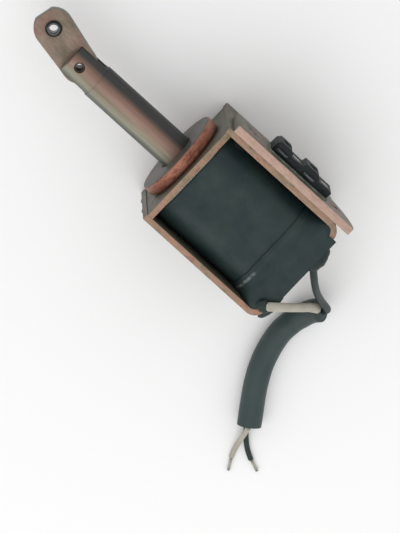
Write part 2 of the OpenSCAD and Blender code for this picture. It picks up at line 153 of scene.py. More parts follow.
def smooth_route(points, step):
    """Evenly spaced points on the smooth curve through a cord's route"""
    knots = [Vector(p) * mm for p in points]
    ends = [2 * knots[0] - knots[1], *knots, 2 * knots[-1] - knots[-2]]
    dense, samples = [], 24
    for a, b, c, d in zip(ends, ends[1:], ends[2:], ends[3:]):
        for k in range(samples):
            t = k / samples
            dense.append(0.5 * (2 * b + (c - a) * t + (2 * a - 5 * b + 4 * c - d) * t**2
                                + (3 * b - a - 3 * c + d) * t**3))
    dense.append(knots[-1])
    total = sum((q - p).length for p, q in zip(dense, dense[1:]))
    count = max(2, round(total / step))
    spaced, walked, target = [dense[0]], 0.0, total / count
    for p, q in zip(dense, dense[1:]):
        part = (q - p).length
        while walked + part >= target - 1e-9 and len(spaced) < count:
            spaced.append(p.lerp(q, (target - walked) / part))
            target += total / count
        walked += part
    return [*spaced, dense[-1]], total


def link_object(name, mesh, material):
    mesh.materials.clear()
    mesh.materials.append(material)
    made = bpy.data.objects.new(name, mesh)
    bpy.context.collection.objects.link(made)
    return made


def smooth_mesh(shape, name, turn_out=True):
    """The mesh of a bmesh, with its faces smooth and turned outwards"""
    if turn_out:
        bmesh.ops.recalc_face_normals(shape, faces=shape.faces)
    for face in shape.faces:
        face.smooth = True
    mesh = bpy.data.meshes.new(name)
    shape.to_mesh(mesh)
    shape.free()
    return mesh


def tube(name, route, radius, sides, material):
    """Mesh tube along a route; radius(along, around) may dent or flare it. Its UV map runs
    round the tube and along it, in metres."""
    frame_side = (route[1] - route[0]).orthogonal().normalized()
    tangents = [(route[min(i + 1, len(route) - 1)] - route[max(i - 1, 0)]).normalized()
                for i in range(len(route))]
    shape = bmesh.new()
    uv = shape.loops.layers.uv.new("along")
    rings, walked = [], [0.0]
    for i, (centre, ahead) in enumerate(zip(route, tangents)):
        frame_side = (frame_side - frame_side.dot(ahead) * ahead).normalized()
        other = ahead.cross(frame_side)
        if i:
            walked.append(walked[-1] + (centre - route[i - 1]).length)
        ring = []
        for k in range(sides):
            turn = math.tau * k / sides
            reach = radius(walked[-1], turn)
            ring.append(shape.verts.new(centre + reach * (math.cos(turn) * frame_side
                                                          + math.sin(turn) * other)))
        rings.append(ring)
    around = math.tau * radius(walked[-1] / 2, 0)
    for i in range(len(rings) - 1):
        for k in range(sides):
            n = (k + 1) % sides
            face = shape.faces.new((rings[i][k], rings[i][n], rings[i + 1][n], rings[i + 1][k]))
            for loop, (a, b) in zip(face.loops, ((k, i), (k + 1, i), (k + 1, i + 1), (k, i + 1))):
                loop[uv].uv = (a / sides * around, walked[b])
    for ring, flip, centre in ((rings[0], True, route[0]), (rings[-1], False, route[-1])):
        middle = shape.verts.new(centre)
        for k in range(sides):
            pair = (ring[k], ring[(k + 1) % sides])
            shape.faces.new((middle, *(reversed(pair) if flip else pair)))
    return link_object(name, smooth_mesh(shape, name), material)


def braid(name, light, dark, pitch, depth, rough, specular=0.3):
    """Two sets of strands that cross at a slant, on a tube's own UV map"""
    made, tree, shader = start_material(name, rough, specular=specular)
    strands = []
    for slant in (1, -1):
        turned = place(tree, turn=(0, 0, slant * math.radians(40)), source="UV")
        strands.append(add(tree, "TexWave", Vector=turned, Scale=1 / pitch, Distortion=0.6,
                           Detail=1.0).outputs[1])
    weave = maths(tree, "MAXIMUM", *strands)
    grime = cloud(tree, place(tree), 260)
    tone = blend_colour(tree, ramp(tree, grime, (0.35, 0.0), (0.75, 0.55)), light, dark)
    colour_in(tree, shader, blend_colour(tree, maths(tree, "MULTIPLY", weave, 0.35), tone, light))
    relief(tree, shader, weave, depth)
    return made


white_route = [[-52.7, 14.5, 21.8], [-54.2, 13.2, 21.8], [-56, 11.8, 21.4], [-57.7, 10.7, 20.1],
               [-59.7, 9.8, 17.5], [-61.8, 9.1, 13.7], [-64.2, 8.6, 8.3], [-66.7, 8.3, 1.7], [-69, 8.3, -4],
               [-70.9, 8.5, -9], [-71.2, 9.6, -12]]
black_route = [[-56.1, -5.2, 15.4], [-57.2, -3.6, 14.5], [-59.3, -1.7, 12.5], [-62, 0.5, 9],
               [-65.1, 2.6, 4], [-68.6, 4.4, -2], [-72, 5.6, -7], [-74, 6.6, -10.6], [-74, 7.8, -12.4]]
white_dia, black_dia = 3.1 * mm, 2.6 * mm

white_sleeving = braid("white_sleeving", paint(190, 186, 172), paint(166, 150, 138), pitch=0.42 * mm,
                       depth=0.05 * mm, rough=0.75)
black_sleeving = braid("black_sleeving", paint(38, 52, 50), paint(28, 38, 38), pitch=0.5 * mm,
                       depth=0.03 * mm, rough=0.45)


def worn(diameter, seed):
    """Radius of sleeving that is a little squashed and uneven, and drawn in at its start"""
    drawn_in, drawn_length = 0.62, 1.2 * mm
    widest = 0.97 * diameter / 2

    def radius(along, around):
        squash = 1 + 0.03 * math.cos(2 * around + along / (6 * mm))
        opened = math.sqrt(1 - (1 - min(along / drawn_length, 1.0)) ** 2)
        bumps = 1 + 0.02 * noise.noise(Vector((along / (3 * mm), around, seed)))
        return widest * squash * (drawn_in + (1 - drawn_in) * opened) * bumps
    return radius


lead_step, lead_sides = 0.6 * mm, 32
for colour, route, diameter, finish, seed in (("white", white_route, white_dia, white_sleeving, 1),
                                              ("black", black_route, black_dia, black_sleeving, 5)):
    path, length = smooth_route(route, lead_step)
    lead = tube(f"{colour}_lead_tube", path, worn(diameter, seed), lead_sides, finish)
    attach(lead, "housing")
    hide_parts(f"{colour}_lead")


# Outer sleeve: soft black varnished sleeving, open at both ends, which holds the two leads
# together where they run off along the bench.
sleeve_route = [[-72.5, 8.3, -11.4], [-71.6, 9.9, -12.7], [-70.8, 12, -14], [-70.1, 14.4, -14.9],
                [-69.4, 17, -15.4], [-69, 19.6, -15.4], [-68.8, 22.4, -15.4], [-69, 25.2, -15.4],
                [-69.5, 28, -15.4], [-70.2, 30.8, -15.4], [-71.1, 33.6, -15.4], [-72.2, 36.3, -15.4],
                [-73.5, 38.9, -15.4], [-74.9, 41.4, -15.4], [-76.4, 43.8, -15.4], [-78, 46.2, -15.4],
                [-79.6, 48.5, -15.4], [-81.2, 50.8, -15.4], [-82.8, 53.1, -15.4]]
sleeve_dia = 8.2 * mm

sleeve_step, sleeve_sides = 0.8 * mm, 48
quarter_turn = (0, 0, math.radians(90))

outer_finish, tree, shader = start_material("outer_sleeve", 0.42, specular=0.35)
thread = {"Scale": 1400, "Distortion": 1.2, "Detail": 2.0}
fibres = add(tree, "TexWave", Vector=place(tree, source="UV"), **thread).outputs[1]
hoops = add(tree, "TexWave", Vector=place(tree, turn=quarter_turn, source="UV"), **thread).outputs[1]
cloth = maths(tree, "MAXIMUM", fibres, hoops)
patch = cloud(tree, place(tree), 90)
tone = ramp(tree, patch, (0.3, paint(32, 52, 51)), (0.55, paint(42, 60, 59)), (0.8, paint(56, 56, 58)))
colour_in(tree, shader, blend_colour(tree, maths(tree, "MULTIPLY", cloth, 0.18), tone, paint(78, 92, 90)))
relief(tree, shader, cloth, 0.03 * mm)


def sleeve_radius(along, around):
    """Wrinkled where it bends out of its mouth, and never past its own size"""
    creased_length = 16 * mm
    crease = 0.5 + 0.5 * math.sin(along / (1.5 * mm) + 1.5 * math.sin(around))
    soft = noise.noise(Vector((along / (7 * mm), math.cos(around), math.sin(around))))
    fade = max(0.0, 1 - along / creased_length)
    return sleeve_dia / 2 * (1 - 0.03 * crease * fade - 0.02 * abs(soft))


path, length = smooth_route(sleeve_route, sleeve_step)
sleeve = tube("outer_sleeve_tube", path, sleeve_radius, sleeve_sides, outer_finish)
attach(sleeve, "housing")
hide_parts("lead_sleeve")


# Lead tails: the two leads run out of the sleeve, cut short and stripped. Each bare end is a ring
# of tinned copper strands round one in the middle, laid straight.
strand_finish, tree, shader = start_material("tinned_strand", 0.35, 0.85)
twist = add(tree, "TexWave", Vector=place(tree, turn=(0, 0, math.radians(30))), Scale=1500,
            Distortion=1.0).outputs[1]
colour_in(tree, shader, ramp(tree, twist, (0.2, paint(150, 146, 138)), (0.8, paint(196, 194, 186))))
relief(tree, shader, twist, 0.02 * mm)


def strand_tree(material):
    """Nodes that set a round rod on each point of a ring, and one in its middle"""
    tree = bpy.data.node_groups.new("bundle_of_strands", "GeometryNodeTree")
    for name, kind in (("Strands", "NodeSocketInt"), ("Strand Radius", "NodeSocketFloat"),
                       ("Ring Radius", "NodeSocketFloat"), ("Length", "NodeSocketFloat")):
        tree.interface.new_socket(name, in_out="INPUT", socket_type=kind)
    tree.interface.new_socket("Geometry", in_out="OUTPUT", socket_type="NodeSocketGeometry")
    given, out = tree.nodes.new("NodeGroupInput"), tree.nodes.new("NodeGroupOutput")
    ring = tree.nodes.new("GeometryNodeMeshCircle")
    middle = tree.nodes.new("GeometryNodeMeshLine")
    middle.inputs["Count"].default_value = 1
    points = tree.nodes.new("GeometryNodeJoinGeometry")
    rod = tree.nodes.new("GeometryNodeMeshCylinder")
    rod.inputs["Vertices"].default_value = 12
    rods = tree.nodes.new("GeometryNodeInstanceOnPoints")
    real = tree.nodes.new("GeometryNodeRealizeInstances")
    paint_on = tree.nodes.new("GeometryNodeSetMaterial")
    paint_on.inputs["Material"].default_value = material
    for start, start_socket, end, end_socket in (
            (given, "Strands", ring, "Vertices"), (given, "Ring Radius", ring, "Radius"),
            (given, "Strand Radius", rod, "Radius"), (given, "Length", rod, "Depth"),
            (ring, "Mesh", points, "Geometry"), (middle, "Mesh", points, "Geometry"),
            (points, "Geometry", rods, "Points"), (rod, "Mesh", rods, "Instance"),
            (rods, "Instances", real, "Geometry"), (real, "Geometry", paint_on, "Geometry"),
            (paint_on, "Geometry", out, "Geometry")):
        tree.links.new(start.outputs[start_socket], end.inputs[end_socket])
    return tree


def bake(piece):
    """Turns a piece's modifiers into its plain mesh"""
    before = piece.data
    baked = bpy.data.meshes.new_from_object(piece.evaluated_get(bpy.context.evaluated_depsgraph_get()))
    piece.modifiers.clear()
    piece.data = baked
    bpy.data.meshes.remove(before)
    baked.name = piece.name
    return piece


bundle = strand_tree(strand_finish)


def stripped_strands(name, start, end):
    """A bundle of bare strands from one point to another"""
    made = bpy.data.objects.new(name, bpy.data.meshes.new(name))
    bpy.context.collection.objects.link(made)
    rods = made.modifiers.new("strands", "NODES")
    rods.node_group = bundle
    sizes = {"Strands": 6, "Strand Radius": 0.17 * mm, "Ring Radius": 0.36 * mm,
             "Length": (end - start).length}
    for item in bundle.interface.items_tree:
        if item.in_out == "INPUT":
            rods[item.identifier] = sizes[item.name]
    bake(made)
    turn = (end - start).to_track_quat("Z", "Y").to_matrix().to_4x4()
    turn.translation = (start + end) / 2
    made.data.transform(turn)
    made.data.shade_smooth()
    return made


tail_radius, tail_step, tail_sides = 0.88 * mm, 0.5 * mm, 20
bare_steps, hidden_steps = 8, 1
tails = []
for colour, finish, route in (
        ("black", black_sleeving,
         [[-82.4, 54, -17], [-84.2, 56, -17.8], [-86.2, 58, -18.4], [-88.4, 59.8, -18.6],
          [-90.8, 61.2, -18.6], [-93.4, 62.3, -18.6], [-96, 63.2, -18.6]]),
        ("white", white_sleeving,
         [[-82.9, 53.6, -14], [-83.7, 56.4, -15.4], [-84.4, 59.2, -17], [-85.1, 61.8, -18.2],
          [-86, 64.4, -18.6], [-87.2, 67, -18.6], [-88.8, 69.4, -18.6]])):
    tail_path, _ = smooth_route(route, tail_step)
    cut = len(tail_path) - 1 - bare_steps
    tail = tube(f"{colour}_wire_tail", tail_path[:cut], lambda along, around: tail_radius, tail_sides, finish)
    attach(tail, "housing")
    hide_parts(f"{colour}_tail")
    strands = stripped_strands(f"{colour}_bare_strands", tail_path[cut - 1 - hidden_steps], tail_path[-1])
    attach(strands, "housing")
    tails += [tail, strands]


def stands_for(piece, node_name, body):
    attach(piece, body)
    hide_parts(node_name)


def merged_copy(node_name, flat_angle=None):
    """A copy of a CAD node's mesh with its corners joined, and its flat faces made whole"""
    mesh = frame_bodies[node_name].data.copy()
    shape = bmesh.new()
    shape.from_mesh(mesh)
    bmesh.ops.remove_doubles(shape, verts=shape.verts, dist=0.001 * mm)
    if flat_angle:
        bmesh.ops.dissolve_limit(shape, angle_limit=flat_angle, verts=shape.verts, edges=shape.edges)
    shape.to_mesh(mesh)
    shape.free()
    return mesh


def deburred(node_name, name, body, material, width):
    """A copy of a CAD node with its sharp edges broken, which stands for the node"""
    mesh = merged_copy(node_name, flat_angle=math.radians(0.5))
    made = link_object(name, mesh, material)
    mesh.shade_smooth()
    edges = made.modifiers.new("broken_edges", "BEVEL")
    edges.width, edges.segments = width, 2
    edges.limit_method, edges.angle_limit = "ANGLE", math.radians(40)
    edges.harden_normals = True
    stands_for(bake(made), node_name, body)


def spread(tones, low=0.34, high=0.66):
    """Stops of a ramp, with the tones evenly between two factors"""
    step = (high - low) / (len(tones) - 1)
    return [(low + step * k, tone) for k, tone in enumerate(tones)]


def facing(tree, axis):
    """How squarely a face looks along an axis of the object, from 0 to 1"""
    normal = tree.nodes.new("ShaderNodeTexCoord").outputs["Normal"]
    parts = add(tree, "SeparateXYZ", Vector=normal)
    return maths(tree, "ABSOLUTE", parts.outputs[axis])


def washed_steel(name, edge_tones, face_tones, axis, rough=0.48, metal=0.35):
    """Sheet steel: one set of tones on the faces that look along an axis, and another elsewhere,
    with blotches, fine rolling lines and small pits"""
    made, tree, shader = start_material(name, rough, metal)
    blotch = cloud(tree, place(tree), 140, detail=5, rough=0.6)
    fine = cloud(tree, place(tree, stretch=(1, 9, 9)), 420, detail=4, rough=0.65)
    edge = ramp(tree, blotch, *spread(edge_tones))
    face = ramp(tree, blotch, *spread(face_tones))
    side = ramp(tree, facing(tree, axis), (0.62, 0.0), (0.8, 1.0))
    tone = blend_colour(tree, side, face, edge)
    line = ramp(tree, fine, (0.35, 0.78), (0.6, 1.0))
    colour_in(tree, shader, blend_colour(tree, 1.0, tone, line, "MULTIPLY"))
    tree.links.new(ramp(tree, fine, (0.3, rough + 0.14), (0.7, rough - 0.1)), shader.inputs["Roughness"])
    relief(tree, shader, maths(tree, "ADD", fine, blotch), 0.02 * mm, 0.6)
    return made


strip_steel = washed_steel(
    "strip_steel",
    edge_tones=(paint(114, 104, 82), paint(146, 120, 98), paint(156, 122, 102), paint(130, 92, 80)),
    face_tones=(paint(84, 84, 72), paint(98, 96, 82), paint(104, 88, 76)), axis="Z")
deburred("u_frame", "strip_frame", "housing", strip_steel, width=0.22 * mm)
deburred("front_plate", "let_in_front_plate", "housing", strip_steel, width=0.15 * mm)


# Front flange: turned steel with a fine copper wash, copper red round its side and duller grey
# on its face, where the tones also carry painted shade, on a thin ring painted dark as shade. Its
# spigot passes the front plate and holds the guide tube.
def turned_steel(name, wall_tones, face_tones, rough, metal=0.45, ring_pitch=0.35 * mm):
    """Turned metal on the X axis, with tool rings on its faces and streaks round its wall"""
    made, tree, shader = start_material(name, rough, metal)
    spots = cloud(tree, place(tree, stretch=(3, 1, 1)), 300, detail=5, rough=0.7)
    parts = add(tree, "SeparateXYZ", Vector=place(tree))
    y_squared, z_squared = (maths(tree, "MULTIPLY", parts.outputs[a], parts.outputs[a]) for a in "YZ")
    reach = maths(tree, "SQRT", maths(tree, "ADD", y_squared, z_squared))
    rings = maths(tree, "SINE", maths(tree, "MULTIPLY", reach, math.tau / ring_pitch))
    streaks = maths(tree, "SINE", maths(tree, "MULTIPLY", parts.outputs["X"], math.tau / ring_pitch))
    side = ramp(tree, facing(tree, "X"), (0.45, 0.0), (0.75, 1.0))
    wall = ramp(tree, spots, *spread(wall_tones, 0.32, 0.66))
    face = ramp(tree, spots, *spread(face_tones, 0.32, 0.66))
    colour_in(tree, shader, blend_colour(tree, side, wall, face))
    marks = maths(tree, "ADD", maths(tree, "MULTIPLY", rings, side), streaks)
    relief(tree, shader, maths(tree, "ADD", maths(tree, "MULTIPLY", marks, 0.25), spots), 0.02 * mm, 0.7)
    return made


# The grey face tones are partly the face's duller finish and partly painted shade, for a face that looks away
# from the lamp
flange_finish = turned_steel(
    "copper_washed_flange",
    wall_tones=(paint(84, 48, 40), paint(136, 78, 62), paint(158, 108, 84), paint(122, 62, 52)),
    face_tones=(paint(70, 70, 66), paint(84, 80, 74), paint(82, 70, 64)), rough=0.42)
deburred("front_flange", "turned_flange", "housing", flange_finish, width=0.12 * mm)
# The ring is tucked under the flange's rim, and its dark brown tones are painted shade
flange_ring_shade_finish = turned_steel("flange_ring_painted_shade", wall_tones=(paint(70, 34, 24), paint(92, 46, 32)),
                           face_tones=(paint(60, 36, 28), paint(78, 48, 36)), rough=0.6, metal=0.2)
deburred("flange_ring", "flange_ring_in_painted_shade", "housing", flange_ring_shade_finish, width=0.1 * mm)


# Inside the coil: a nylon bobbin wound with enamelled wire, a drawn brass tube in which the
# plunger slides, and the fixed core that is riveted into the web.
def in_place(node_name, material):
    """A CAD node that shows as it is, with its own finish"""
    piece = frame_bodies[node_name]
    piece.data.materials.clear()
    piece.data.materials.append(material)


nylon, tree, shader = start_material("natural_nylon", 0.5)
mottle = cloud(tree, place(tree), 200)
colour_in(tree, shader, ramp(tree, mottle, (0.3, paint(196, 188, 166)), (0.7, paint(212, 206, 188))))
relief(tree, shader, mottle, 0.02 * mm)
in_place("bobbin", nylon)

enamelled_wire, tree, shader = start_material("enamelled_wire", 0.3, 0.6)
turns = add(tree, "TexWave", Vector=place(tree), Scale=500, Distortion=0.3).outputs[1]
colour_in(tree, shader, ramp(tree, turns, (0.1, paint(96, 40, 20)), (0.7, paint(184, 96, 52))))
relief(tree, shader, turns, 0.1 * mm)
in_place("winding", enamelled_wire)

drawn_brass, tree, shader = start_material("drawn_brass", 0.35, 0.9)
draw_lines = cloud(tree, place(tree, stretch=(0.1, 1, 1)), 1200)
colour_in(tree, shader, ramp(tree, draw_lines, (0.3, paint(176, 146, 84)), (0.7, paint(206, 178, 110))))
relief(tree, shader, draw_lines, 0.01 * mm)
in_place("guide_tube", drawn_brass)

core_finish = turned_steel("soft_iron", wall_tones=(paint(96, 94, 90), paint(112, 110, 106)),
                           face_tones=(paint(92, 88, 84), paint(108, 104, 98)), rough=0.45, metal=0.6)
deburred("fixed_core", "riveted_core", "housing", core_finish, width=0.1 * mm)


# Coil tape: varnished black-green cloth tape, wound round the coil and its bobbin. It is
# tight over the corners, hollows a little on the flats and curls in at its two edges.
tape_low, tape_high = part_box("coil_wrap")
tape_half = tape_high.y
tape_corner = 11 * mm
tape_thick = 0.6 * mm


def tape_outline(half, corner, count):
    """Points round a square with round corners, each with its outward direction, and its length"""
    flat = 2 * (half - corner)
    side = flat + math.pi / 2 * corner
    points = []
    for k in range(count):
        walked = 4 * side * k / count
        quarter, along = divmod(walked, side)
        if along < flat:
            point = Vector((half, along - flat / 2))
            normal = Vector((1.0, 0.0))
        else:
            turn = (along - flat) / corner
            normal = Vector((math.cos(turn), math.sin(turn)))
            point = Vector((half - corner, flat / 2)) + corner * normal
        spin = Matrix.Rotation(quarter * math.pi / 2, 2)
        points.append((spin @ point, spin @ normal))
    return points, 4 * side


def cloth_tape(name, tones, weave_pitch=0.55 * mm, rough=0.46, source="UV"):
    """Varnished cloth: a plain weave under a skin of varnish, with cloudy colour"""
    made, tree, shader = start_material(name, rough, specular=0.25)
    waves_per_scale = 3.2
    yarn = {"Scale": 1 / weave_pitch / waves_per_scale, "Distortion": 0.4, "Detail": 1.0}
    warp = add(tree, "TexWave", Vector=place(tree, source=source), **yarn).outputs[1]
    weft = add(tree, "TexWave", Vector=place(tree, turn=quarter_turn, source=source), **yarn).outputs[1]
    weave = maths(tree, "MULTIPLY", warp, weft)
    tone = ramp(tree, cloud(tree, place(tree), 75, detail=4), *spread(tones))
    shown = maths(tree, "MULTIPLY", weave, 0.12)
    colour_in(tree, shader, blend_colour(tree, shown, tone, paint(90, 104, 104)))
    streak = cloud(tree, place(tree), 320, detail=3)
    tree.links.new(ramp(tree, streak, (0.3, rough + 0.12), (0.7, rough - 0.08)), shader.inputs["Roughness"])
    relief(tree, shader, maths(tree, "ADD", weave, maths(tree, "MULTIPLY", streak, 0.6)), 0.03 * mm, 0.8)
    return made


def ripple(along, point, long_step, cross_step):
    """Slow unevenness of wound tape, from 0 to 1"""
    return 0.5 + 0.5 * noise.noise(Vector((along / long_step, point.x / cross_step, point.y / cross_step)))


curl_reach, curl_depth = 0.4 * mm, 0.18 * mm
flat_sink, turn_sink = 0.22 * mm, 0.05 * mm
points_round, stations_along = 240, 60
outline, round_length = tape_outline(tape_half, tape_corner, points_round)
length = tape_high.x - tape_low.x
edge_stations = [0.0, 0.15 * mm, curl_reach]
stations = (edge_stations + [length * k / stations_along for k in range(1, stations_along)]
            + [length - along for along in reversed(edge_stations)])
shape = bmesh.new()
uv = shape.loops.layers.uv.new("along")
rings = []
for along in stations:
    curl = curl_depth * max(0.0, 1 - min(along, length - along) / curl_reach) ** 2
    ring = []
    for point, normal in outline:
        flatness = max(abs(normal.x), abs(normal.y)) ** 8
        sink = (curl + flat_sink * ripple(along, point, 16 * mm, 12 * mm) * flatness
                + turn_sink * ripple(along, point, 4 * mm, 30 * mm))
        at = point - normal * sink
        ring.append(shape.verts.new((tape_low.x + along, at.x, at.y)))
    rings.append((ring, along))
for along in (length, 0.0):
    inner = [point - normal * tape_thick for point, normal in outline]
    rings.append(([shape.verts.new((tape_low.x + along, at.x, at.y)) for at in inner], along))
for (ring, along), (after, next_along) in zip(rings, rings[1:] + rings[:1]):
    for k in range(points_round):
        n = (k + 1) % points_round
        face = shape.faces.new((ring[k], ring[n], after[n], after[k]))
        around = [round_length * j / points_round for j in (k, k + 1, k + 1, k)]
        for loop, u, v in zip(face.loops, around, (along, along, next_along, next_along)):
            loop[uv].uv = (u, v)
mesh = smooth_mesh(shape, "coil_tape")
mesh.set_sharp_from_angle(angle=math.radians(50))
coil_finish = cloth_tape("varnished_tape", (paint(20, 36, 41), paint(29, 45, 44), paint(38, 53, 51)))
stands_for(link_object("wound_coil_tape", mesh, coil_finish), "coil_wrap", "housing")


# Insulation pad: a wide flap of the same cloth tape over the joints of the leads. It leaves the
# round of the coil, is drawn flat over the edge of the web and creases where it was pulled.
web_low, frame_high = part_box("u_frame")
pad_low, pad_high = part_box("insulation_pad")
strip_thick, bend_inside = 2 * mm, 2.5 * mm
web_inside = web_low.x + strip_thick
leg_inside = frame_high.y - strip_thick
bend_start = web_inside + bend_inside
pad_thick = 0.45 * mm


def smooth_step(t):
    t = min(max(t, 0.0), 1.0)
    return t * t * (3 - 2 * t)


def pad_half_width(x):
    """The flap fills the room between the legs and inside the bends, and widens over the web"""
    clearance, slack, widening = 0.1 * mm, 0.98, 0.4 * mm
    into_bend = min(max(bend_start - x, 0.0), bend_inside)
    in_bend = math.sqrt(bend_inside**2 - into_bend**2) * slack - clearance
    return leg_inside - bend_inside + in_bend + widening * smooth_step((web_inside - x) / mm)


def pad_height(x, y, half):
    """From the round of the coil to the flat over the web, with folds where it is pulled"""
    shoulder, shoulder_drop, fold_height = 1.6 * mm, 0.5 * mm, 0.5 * mm
    lap_height, lap_width = 0.25 * mm, 2.6 * mm
    from_start = pad_high.x - x
    flat_half = tape_half - tape_corner
    round_off = max(abs(y) - flat_half, 0.0)
    on_coil = flat_half + math.sqrt(max(tape_corner**2 - round_off**2, 0.0)) + pad_thick
    at_side = smooth_step(1 - (half - abs(y)) / shoulder) * (x > web_inside)
    over_web = pad_high.z - shoulder_drop * at_side
    pulled = smooth_step(from_start / (pad_high.x - bend_start))
    fold = noise.noise(Vector((x / (2.2 * mm), y / (6 * mm), 3.0))) * pulled * (1 - pulled)
    lapped = lap_height * math.sin(math.pi * smooth_step(from_start / lap_width))
    height = on_coil * (1 - pulled) + over_web * pulled + fold_height * fold + lapped
    return min(height, pad_high.z)


ragged_edge, wavy_side = 0.3 * mm, 0.05 * mm
rows, columns = 64, 120
shape = bmesh.new()
uv = shape.loops.layers.uv.new("along")
grid = []
for i in range(rows + 1):
    x = pad_high.x + (pad_low.x - pad_high.x) * i / rows
    half = pad_half_width(x)
    wave = wavy_side * noise.noise(Vector((i / 4, 0.0, 0.0))) * (0 < i < rows)
    line = []
    for k in range(columns + 1):
        across = 2 * k / columns - 1
        torn = ragged_edge * noise.noise(Vector((0.0, k / 9, 2.0))) * (i == 0)
        line.append(shape.verts.new((x + torn, across * (half + wave), pad_height(x, across * half, half))))
    grid.append(line)
for i in range(rows):
    for k in range(columns):
        face = shape.faces.new((grid[i][k], grid[i][k + 1], grid[i + 1][k + 1], grid[i + 1][k]))
        for loop in face.loops:
            loop[uv].uv = (loop.vert.co.y, loop.vert.co.x)

# A pale line, broken up by noise, is painted along the crease near the free leg as a painted highlight on the
# fold
crease_highlight_x, crease_highlight_from_y, crease_highlight_wide = pad_high.x - 1.8 * mm, 9 * mm, 0.7 * mm
pad_finish = cloth_tape("pad_tape_cloth", (paint(26, 40, 43), paint(35, 50, 49), paint(43, 57, 55)))
tree = pad_finish.node_tree
shader = tree.nodes["Principled BSDF"]
spot = add(tree, "SeparateXYZ", Vector=place(tree))
off_line = maths(tree, "ABSOLUTE", maths(tree, "SUBTRACT", spot.outputs["X"], crease_highlight_x))
near = ramp(tree, maths(tree, "DIVIDE", off_line, crease_highlight_wide), (0.0, 1.0), (1.0, 0.0))
crease_highlight = maths(tree, "MULTIPLY", near, maths(tree, "GREATER_THAN", spot.outputs["Y"], crease_highlight_from_y))
broken = ramp(tree, cloud(tree, place(tree), 700, detail=5), (0.35, 0.0), (0.6, 0.8))
plain = shader.inputs["Base Color"].links[0].from_socket
painted_crease_highlight = maths(tree, "MULTIPLY", crease_highlight, broken)
# Painted highlight along the crease
colour_in(tree, shader, blend_colour(tree, painted_crease_highlight, plain, paint(132, 140, 138)))

flap = link_object("draped_tape_flap", smooth_mesh(shape, "pad_flap", turn_out=False), pad_finish)
wall = flap.modifiers.new("tape_thickness", "SOLIDIFY")
wall.thickness, wall.offset = pad_thick, -1
stands_for(bake(flap), "insulation_pad", "housing")


# Lead roots: each lead leaves under turns of the same tape, bound into a soft lump. A torn end of
# tape is pressed over the place where the white lead leaves the flap.
lump_tones = (paint(28, 40, 41), paint(38, 47, 46), paint(54, 46, 46))
lump_finish = cloth_tape("lump_tape_cloth", lump_tones, source="Object")
lumps = link_object("bound_lead_roots", merged_copy("lead_lumps"), lump_finish)
skin = lumps.modifiers.new("skin", "REMESH")
skin.mode, skin.voxel_size, skin.use_smooth_shade = "VOXEL", 0.22 * mm, True
relax = lumps.modifiers.new("relax", "SMOOTH")
relax.factor, relax.iterations = 0.5, 8
bake(lumps)
turn_pitch, turn_height, root_length = 2.4 * mm, 0.16 * mm, 1 * mm
for vertex in lumps.data.vertices:
    lap = (vertex.co.y / turn_pitch + vertex.co.z / (3 * turn_pitch)) % 1
    vertex.co.x += turn_height * (lap - 0.5) * (vertex.co.x < web_low.x - root_length)
stands_for(lumps, "lead_lumps", "housing")

patch_middle = Vector(white_route[0]) * mm + Vector((0.4, 0.4, -0.6)) * mm
patch_size = Vector((2.5, 2.3, 1.7)) * mm
shape = bmesh.new()
bmesh.ops.create_uvsphere(shape, u_segments=40, v_segments=24, radius=1)
for vertex in shape.verts:
    rumple = 0.94 + 0.12 * noise.noise(vertex.co * 2.2)
    vertex.co = patch_middle + vertex.co * patch_size * rumple
mesh = smooth_mesh(shape, "tape_patch")
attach(link_object("lead_root_tape_patch", mesh, lump_finish), "housing")


# Plunger: a ground steel bar with a slightly smaller end, slotted for the link. Its finish is
# warm, with fine lengthwise rubbing marks, and across the bar its colour carries painted shade
# along one side and painted highlight bands along the other. A stainless push pin is pressed
# into its inner end, and a hollow pin crosses its fork.
def ground_bar(name, tones, rough, metal, across=None):
    """Ground bar: tones in lengthwise bands, or laid across a width in Y as painted shade and painted
    highlight
    """
    made, tree, shader = start_material(name, rough, metal)
    rub = cloud(tree, place(tree, stretch=(0.06, 1, 1)), 900, detail=4, rough=0.6)
    bands = cloud(tree, place(tree, stretch=(0.25, 1, 1)), 160, detail=3)
    if across:
        # Across Y the tones are painted light and shade: painted shade on the -Y side, painted highlight
        # bands towards +Y
        y = add(tree, "SeparateXYZ", Vector=place(tree)).outputs["Y"]
        middle = maths(tree, "ADD", 0.45, maths(tree, "MULTIPLY", bands, 0.1))
        side = maths(tree, "ADD", maths(tree, "DIVIDE", y, across), middle)
        tone = ramp(tree, side, *spread(tones, 0.06, 0.94))
    else:
        tone = ramp(tree, bands, *spread(tones))
    rubbed = ramp(tree, rub, (0.3, 0.82), (0.65, 1.0))
    colour_in(tree, shader, blend_colour(tree, 1.0, tone, rubbed, "MULTIPLY"))
    tree.links.new(ramp(tree, rub, (0.3, rough + 0.1), (0.7, rough - 0.08)), shader.inputs["Roughness"])
    relief(tree, shader, rub, 0.008 * mm, 0.6)
    return made


plunger_dia = 12 * mm
# From dark painted shade on the -Y side, through pink and pale painted highlight bands, to a darker +Y edge
plunger_shade_and_highlight_tones = (paint(44, 46, 44), paint(56, 56, 54), paint(128, 100, 86), paint(140, 112, 100),
                 paint(136, 122, 104), paint(150, 148, 132), paint(70, 74, 62))
plunger_finish = ground_bar("ground_steel", plunger_shade_and_highlight_tones, 0.42, 0.4, across=plunger_dia)
deburred("plunger", "ground_plunger", "plunger_rod", plunger_finish, width=0.14 * mm)
pin_finish = ground_bar("stainless_pin", (paint(150, 150, 146), paint(170, 170, 166)), 0.3, 0.8)
deburred("push_pin", "stainless_push_pin", "plunger_rod", pin_finish, width=0.1 * mm)
